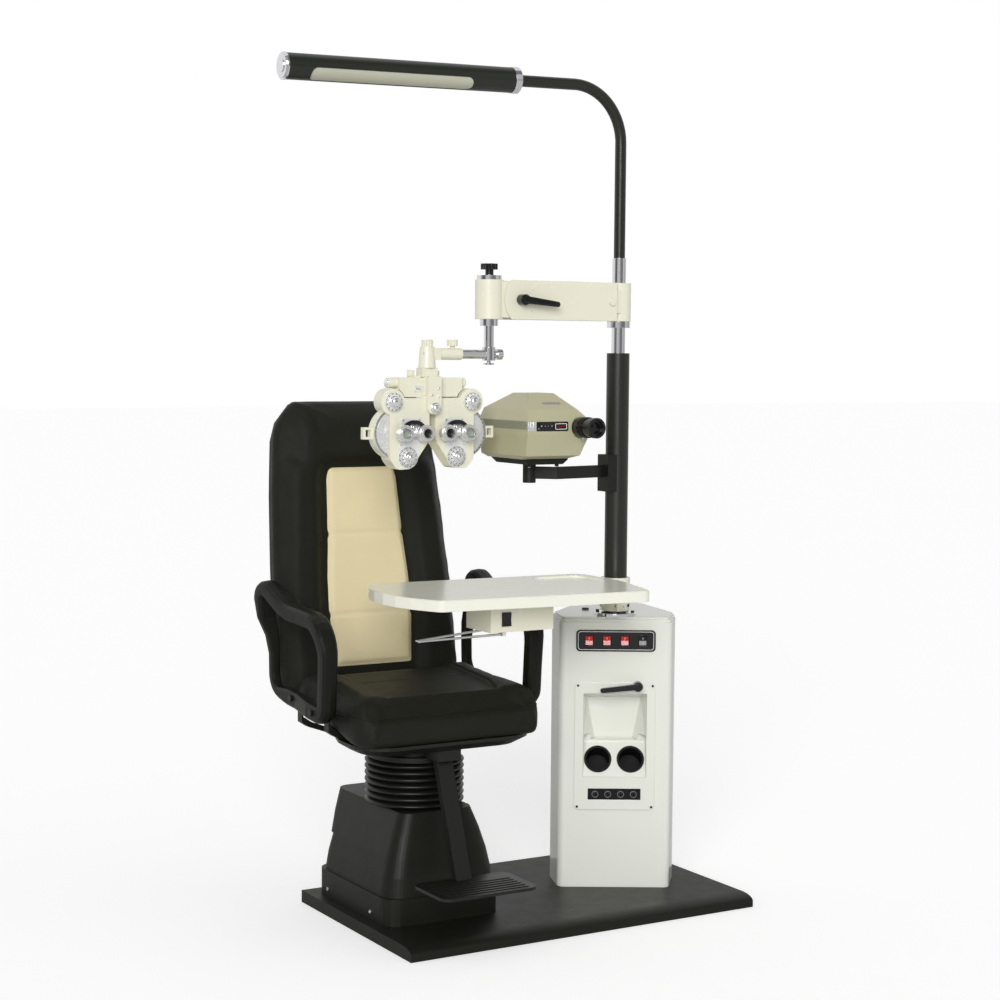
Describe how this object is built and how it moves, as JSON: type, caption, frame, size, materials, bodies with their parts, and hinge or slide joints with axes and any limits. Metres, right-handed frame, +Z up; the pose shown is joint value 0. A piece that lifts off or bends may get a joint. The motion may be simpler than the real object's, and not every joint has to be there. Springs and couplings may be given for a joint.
{
  "type": "ophthalmic examination chair",
  "caption": "Eye examination unit: lift chair, instrument console, swing table, phoropter on a jointed arm, chart projector and overhead lamp.",
  "frame": {"origin": "on the floor, under the centre of the base plate", "axes": "+Z up, the chair faces -Y, the console stands toward +X"},
  "size_m": [1.1547, 0.7797, 2.0483],
  "materials": {
    "plate_steel": "satin powder coat",
    "machined_steel": "brushed",
    "pump_enamel": "satin",
    "black_moulding": "fine grain",
    "bellows_rubber": "matte",
    "black_enamel": "satin",
    "black_leather": "grained, soft sheen",
    "cream_leather": "grained, soft sheen",
    "armrest_foam": "skinned foam",
    "console_white": "gloss gel coat",
    "table_white": "gloss",
    "enamel_beige": "gloss enamel",
    "projector_khaki": "satin enamel",
    "black_gloss": "gloss",
    "red_rocker": "gloss",
    "chrome": "polished",
    "cable_rubber": "matte",
    "dial_silver": "satin",
    "diffuser_white": "frosted"
  },
  "bodies": {
    "base": {"base_plate": "plate_steel", "lift_cylinder": "machined_steel", "lift_pump": "pump_enamel", "base_cover": "black_moulding", "console_frame": "pump_enamel", "console_shell": "console_white", "pocket_panel": "console_white", "pocket_fittings": "black_gloss", "switch_panel": "black_gloss", "dark_screws": "black_enamel", "pole_flange": "chrome", "main_pole": "black_enamel", "chrome_pole": "chrome", "cable_grommets": "cable_rubber", "cable": "cable_rubber", "projector_bracket": "black_enamel", "bellows": "bellows_rubber"},
    "lift": {"lift_ram": "machined_steel"},
    "seat": {"seat_frame": "black_enamel", "seat_cushion": "black_leather", "back_shell": "black_moulding", "back_cushion": "black_leather", "back_insert": "cream_leather", "left_armrest": "armrest_foam", "right_armrest": "armrest_foam", "arm_bolts": "machined_steel", "footrest": "black_enamel"},
    "power_switch": {"power_rocker": "red_rocker"},
    "lamp_switch": {"lamp_rocker": "red_rocker"},
    "projector_switch": {"projector_rocker": "red_rocker"},
    "chair_switch": {"chair_rocker": "black_gloss"},
    "instrument_lever": {"console_lever": "black_gloss"},
    "table": {"table_sleeve": "enamel_beige", "table_top": "table_white", "table_box": "enamel_beige"},
    "table_switch": {"table_rocker": "black_gloss"},
    "table_release": {"release_handle": "chrome"},
    "arm_root": {"pole_block": "enamel_beige"},
    "arm_link": {"arm_beam": "enamel_beige"},
    "arm_end": {"arm_head": "enamel_beige"},
    "arm_clamp": {"arm_lever": "black_gloss"},
    "shaft": {"phoropter_shaft": "chrome"},
    "shaft_knob": {"head_knob": "black_gloss"},
    "sliding_bracket": {"slide_bracket": "enamel_beige"},
    "phoropter": {"phoropter_frame": "enamel_beige"},
    "left_eye": {"left_head": "enamel_beige"},
    "right_eye": {"right_head": "enamel_beige"},
    "left_lenses": {"left_turret": "dial_silver"},
    "right_lenses": {"right_turret": "dial_silver"},
    "left_sphere": {"left_sphere_dial": "dial_silver"},
    "right_sphere": {"right_sphere_dial": "dial_silver"},
    "left_axis": {"left_axis_dial": "dial_silver"},
    "right_axis": {"right_axis_dial": "dial_silver"},
    "projector": {"projector_base": "black_moulding", "projector_shell": "projector_khaki"},
    "projector_focus": {"projector_lens": "black_gloss"},
    "lamp_arm": {"lamp_rod": "black_enamel"},
    "lamp": {"lamp_tube": "black_enamel", "lamp_ends": "chrome", "lamp_diffuser": "diffuser_white"}
  },
  "joints": [
    {"name": "lift_stroke", "type": "slide", "parent": "base", "child": "lift", "axis": [0, 0, 1], "range_m": [-0.06, 0.015], "deforming": ["bellows"]},
    {"name": "seat_swivel", "type": "hinge", "parent": "lift", "child": "seat", "pos_m": [-0.297, 0.042, 0.41], "axis": [0, 0, 1], "range_deg": [0, 20]},
    {"name": "power_rock", "type": "hinge", "parent": "base", "child": "power_switch", "pos_m": [0.16009, -0.02293, 0.654], "axis": [0.8616, -0.5075, 0], "range_deg": [-8, 8]},
    {"name": "lamp_rock", "type": "hinge", "parent": "base", "child": "lamp_switch", "pos_m": [0.19844, -0.04551, 0.654], "axis": [0.8616, -0.5075, 0], "range_deg": [-8, 8]},
    {"name": "projector_rock", "type": "hinge", "parent": "base", "child": "projector_switch", "pos_m": [0.23678, -0.0681, 0.654], "axis": [0.8616, -0.5075, 0], "range_deg": [-8, 8]},
    {"name": "chair_rock", "type": "hinge", "parent": "base", "child": "chair_switch", "pos_m": [0.27512, -0.09068, 0.654], "axis": [0.8616, -0.5075, 0], "range_deg": [-8, 8]},
    {"name": "lever_turn", "type": "hinge", "parent": "base", "child": "instrument_lever", "pos_m": [0.26297, -0.08817, 0.542], "axis": [0.5075, 0.8616, 0], "range_deg": [0, 75]},
    {"name": "table_swing", "type": "hinge", "parent": "base", "child": "table", "pos_m": [0.244, -0.012, 0.766], "axis": [0, 0, 1], "range_deg": [0, 90]},
    {"name": "table_rock", "type": "hinge", "parent": "table", "child": "table_switch", "pos_m": [-0.198, -0.218, 0.7515], "axis": [1, 0, 0], "range_deg": [-8, 8]},
    {"name": "release_pull", "type": "hinge", "parent": "table", "child": "table_release", "pos_m": [-0.196, -0.1655, 0.7145], "axis": [0, 1, 0], "range_deg": [0, 3]},
    {"name": "arm_swing", "type": "hinge", "parent": "base", "child": "arm_root", "pos_m": [0.244, -0.012, 1.494], "axis": [0, 0, 1], "range_deg": [-10, 90]},
    {"name": "arm_tilt", "type": "hinge", "parent": "arm_root", "child": "arm_link", "pos_m": [0.202, -0.012, 1.494], "axis": [0, 1, 0], "range_deg": [-15, 15]},
    {"name": "head_level", "type": "hinge", "parent": "arm_link", "child": "arm_end", "pos_m": [-0.06, -0.012, 1.494], "axis": [0, 1, 0], "range_deg": [-15, 15]},
    {"name": "clamp_turn", "type": "hinge", "parent": "arm_link", "child": "arm_clamp", "pos_m": [-0.06, -0.046, 1.494], "axis": [0, 1, 0], "range_deg": [-45, 45]},
    {"name": "shaft_turn", "type": "hinge", "parent": "arm_end", "child": "shaft", "pos_m": [-0.129, -0.012, 1.45], "axis": [0, 0, 1], "range_deg": [-30, 30]},
    {"name": "knob_turn", "type": "hinge", "parent": "shaft", "child": "shaft_knob", "pos_m": [-0.129, -0.012, 1.565], "axis": [0, 0, 1], "range_deg": [-90, 90]},
    {"name": "bracket_slide", "type": "slide", "parent": "shaft", "child": "sliding_bracket", "axis": [1, 0, 0], "range_m": [-0.02, 0.025]},
    {"name": "phoropter_turn", "type": "hinge", "parent": "sliding_bracket", "child": "phoropter", "pos_m": [-0.297, -0.012, 1.32], "axis": [0, 0, 1], "range_deg": [-20, 20]},
    {"name": "left_pupil", "type": "slide", "parent": "phoropter", "child": "left_eye", "axis": [-1, 0, 0], "range_m": [-0.005, 0.008]},
    {"name": "right_pupil", "type": "slide", "parent": "phoropter", "child": "right_eye", "axis": [1, 0, 0], "range_m": [-0.005, 0.008]},
    {"name": "left_turret_turn", "type": "hinge", "parent": "left_eye", "child": "left_lenses", "pos_m": [-0.35425, -0.052, 1.18], "axis": [0, 1, 0], "range_deg": [-180, 0]},
    {"name": "left_sphere_turn", "type": "hinge", "parent": "left_eye", "child": "left_sphere", "pos_m": [-0.402, -0.05, 1.251], "axis": [0, 1, 0], "continuous": true},
    {"name": "left_axis_turn", "type": "hinge", "parent": "left_eye", "child": "left_axis", "pos_m": [-0.362, -0.05, 1.121], "axis": [0, 1, 0], "continuous": true},
    {"name": "right_turret_turn", "type": "hinge", "parent": "right_eye", "child": "right_lenses", "pos_m": [-0.23975, -0.052, 1.18], "axis": [0, 1, 0], "range_deg": [0, 180]},
    {"name": "right_sphere_turn", "type": "hinge", "parent": "right_eye", "child": "right_sphere", "pos_m": [-0.192, -0.05, 1.251], "axis": [0, 1, 0], "continuous": true},
    {"name": "right_axis_turn", "type": "hinge", "parent": "right_eye", "child": "right_axis", "pos_m": [-0.232, -0.05, 1.121], "axis": [0, 1, 0], "continuous": true},
    {"name": "projector_pan", "type": "hinge", "parent": "base", "child": "projector", "pos_m": [0, 0.008, 1.098], "axis": [0, 0, 1], "range_deg": [-15, 15]},
    {"name": "lens_focus", "type": "hinge", "parent": "projector", "child": "projector_focus", "pos_m": [0.06195, -0.16, 1.19], "axis": [0, -1, 0], "range_deg": [-60, 60]},
    {"name": "lamp_swing", "type": "hinge", "parent": "base", "child": "lamp_arm", "pos_m": [0.244, -0.012, 1.6], "axis": [0, 0, 1], "range_deg": [-90, 90]},
    {"name": "lamp_roll", "type": "hinge", "parent": "lamp_arm", "child": "lamp", "pos_m": [0.10641, -0.012, 2.01998], "axis": [0.9998, 0, 0.0192], "range_deg": [-45, 45]}
  ],
  "couplings": [
    {"joint": "head_level", "follows": "arm_tilt", "ratio": -1},
    {"joint": "right_pupil", "follows": "left_pupil", "ratio": 1}
  ]
}
